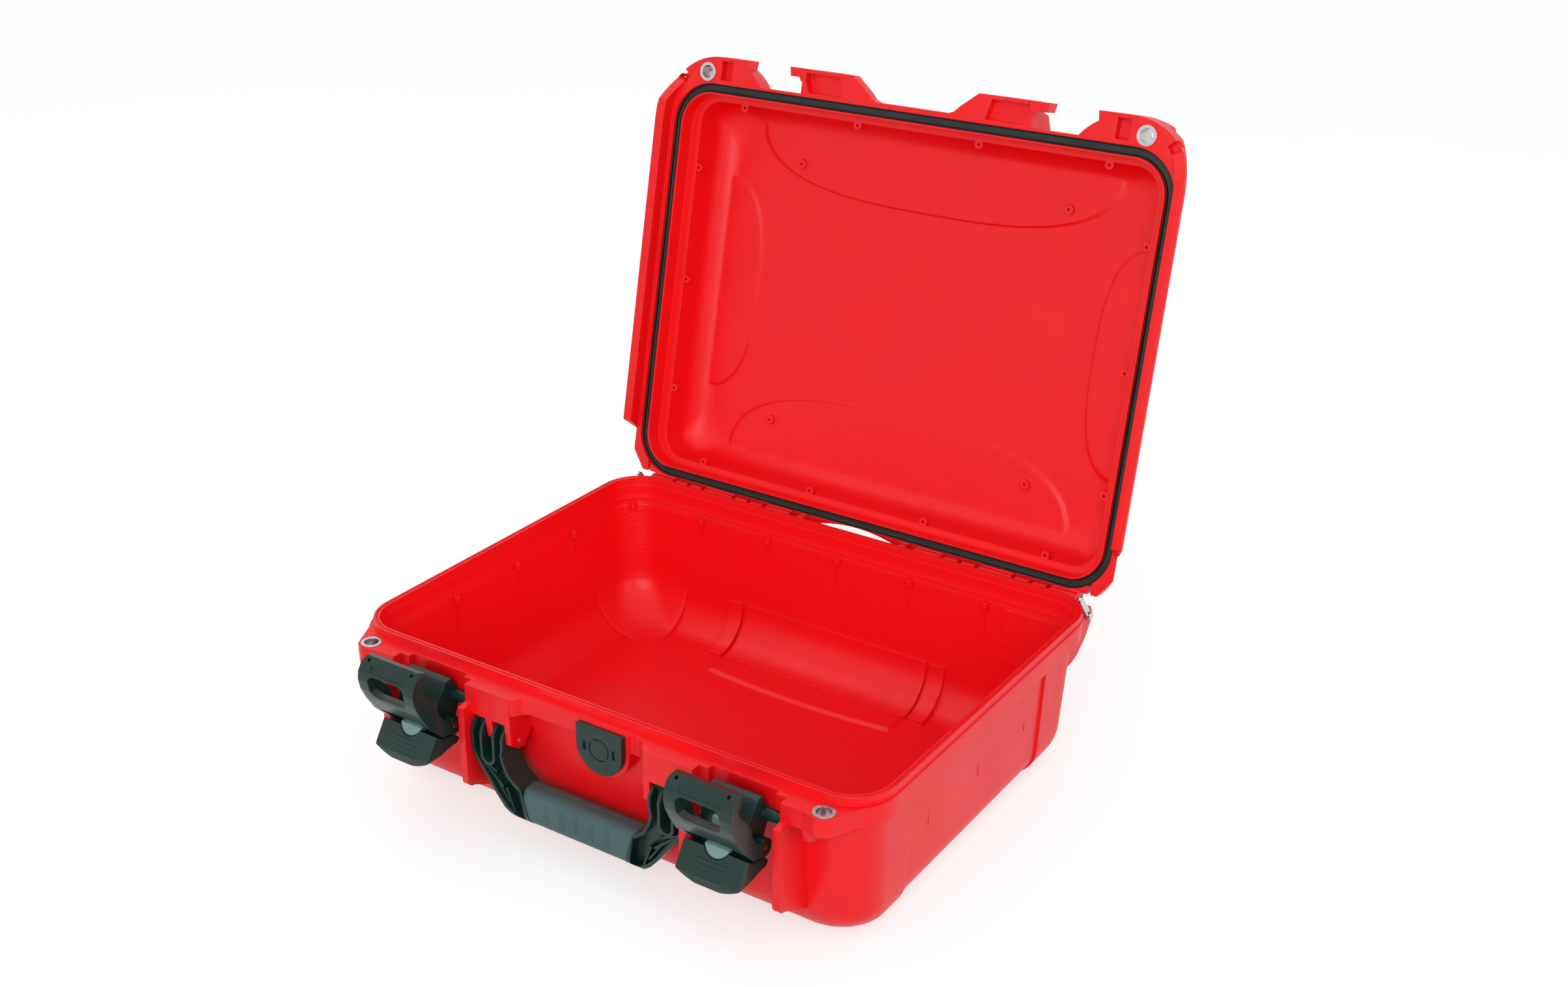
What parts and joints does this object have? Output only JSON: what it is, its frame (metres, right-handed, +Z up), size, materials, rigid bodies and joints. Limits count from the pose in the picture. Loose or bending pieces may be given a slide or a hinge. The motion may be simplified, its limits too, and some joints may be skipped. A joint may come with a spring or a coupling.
{
  "type": "hard tool case",
  "caption": "Hard-shell carrying case with an opened hinged lid, rubber seal, claw latches with slide locks, swing handle, pressure valve and steel padlock eyes.",
  "frame": {"origin": "centre of the flat bottom face, midway between the side walls and midway between the front and rear runs of the seal line", "axes": "+Z up, -Y towards the front with the latches and handle, +Y towards the hinge, +X to the right as seen from the front"},
  "size_m": [0.4694, 0.5259, 0.4758],
  "materials": {
    "shell_red": "satin moulded polymer with a fine grain",
    "latch_dark": "satin glass-filled polymer",
    "grip_teal": "soft-touch overmould",
    "slide_pale": "satin",
    "steel": "stainless, fine brushed",
    "seal_rubber": "matt sponge rubber",
    "membrane_white": "breathable sheet"
  },
  "bodies": {
    "case": {"base_shell": "shell_red", "base_eyelets": "steel", "hinge_pin_left": "steel", "hinge_pin_right": "steel", "handle_pin_left": "steel", "handle_pin_right": "steel", "latch_pivot_pin_left": "steel", "latch_pivot_pin_right": "steel", "stay_pin_left": "steel", "stay_pin_right": "steel", "valve_cap": "latch_dark", "valve_gasket": "seal_rubber", "valve_membrane": "membrane_white"},
    "lid": {"lid_shell": "shell_red", "lid_seal": "seal_rubber", "lid_eyelets": "steel"},
    "handle": {"handle_bail": "latch_dark", "handle_grip": "grip_teal"},
    "lever_left": {"latch_lever_left": "latch_dark", "claw_pin_left": "steel"},
    "claw_left": {"latch_claw_left": "latch_dark"},
    "slide_left": {"latch_slide_left": "slide_pale"},
    "stay_left": {"stay_link_left": "steel"},
    "lever_right": {"latch_lever_right": "latch_dark", "claw_pin_right": "steel"},
    "claw_right": {"latch_claw_right": "latch_dark"},
    "slide_right": {"latch_slide_right": "slide_pale"},
    "stay_right": {"stay_link_right": "steel"}
  },
  "joints": [
    {"name": "lid_hinge", "type": "hinge", "parent": "case", "child": "lid", "pos_m": [0, 0.1744, 0.1195], "axis": [1, 0, 0], "range_deg": [0, 102.26]},
    {"name": "handle_swing", "type": "hinge", "parent": "case", "child": "handle", "pos_m": [0, -0.17465, 0.083], "axis": [-1, 0, 0], "range_deg": [0, 95]},
    {"name": "latch_left_lever", "type": "hinge", "parent": "case", "child": "lever_left", "pos_m": [-0.1326, -0.17765, 0.103], "axis": [1, 0, 0], "range_deg": [-30, 16]},
    {"name": "latch_left_claw", "type": "hinge", "parent": "lever_left", "child": "claw_left", "pos_m": [-0.1326, -0.18815, 0.085], "axis": [-1, 0, 0], "range_deg": [-8, 38.5]},
    {"name": "latch_left_slide", "type": "slide", "parent": "lever_left", "child": "slide_left", "axis": [0, 0, 1], "range_m": [0, 0.003]},
    {"name": "stay_left_swing", "type": "hinge", "parent": "case", "child": "stay_left", "pos_m": [-0.2105, 0.1814, 0.105], "axis": [-1, 0, 0], "range_deg": [0, 25.1]},
    {"name": "latch_right_lever", "type": "hinge", "parent": "case", "child": "lever_right", "pos_m": [0.1326, -0.17765, 0.103], "axis": [1, 0, 0], "range_deg": [-30, 16]},
    {"name": "latch_right_claw", "type": "hinge", "parent": "lever_right", "child": "claw_right", "pos_m": [0.1326, -0.18815, 0.085], "axis": [-1, 0, 0], "range_deg": [-8, 38.5]},
    {"name": "latch_right_slide", "type": "slide", "parent": "lever_right", "child": "slide_right", "axis": [0, 0, 1], "range_m": [0, 0.003]},
    {"name": "stay_right_swing", "type": "hinge", "parent": "case", "child": "stay_right", "pos_m": [0.2105, 0.1814, 0.105], "axis": [-1, 0, 0], "range_deg": [0, 25.1]}
  ],
  "couplings": [
    {"joint": "stay_left_swing", "follows": "lid_hinge", "ratio": 0.2445},
    {"joint": "stay_right_swing", "follows": "lid_hinge", "ratio": 0.2445}
  ]
}
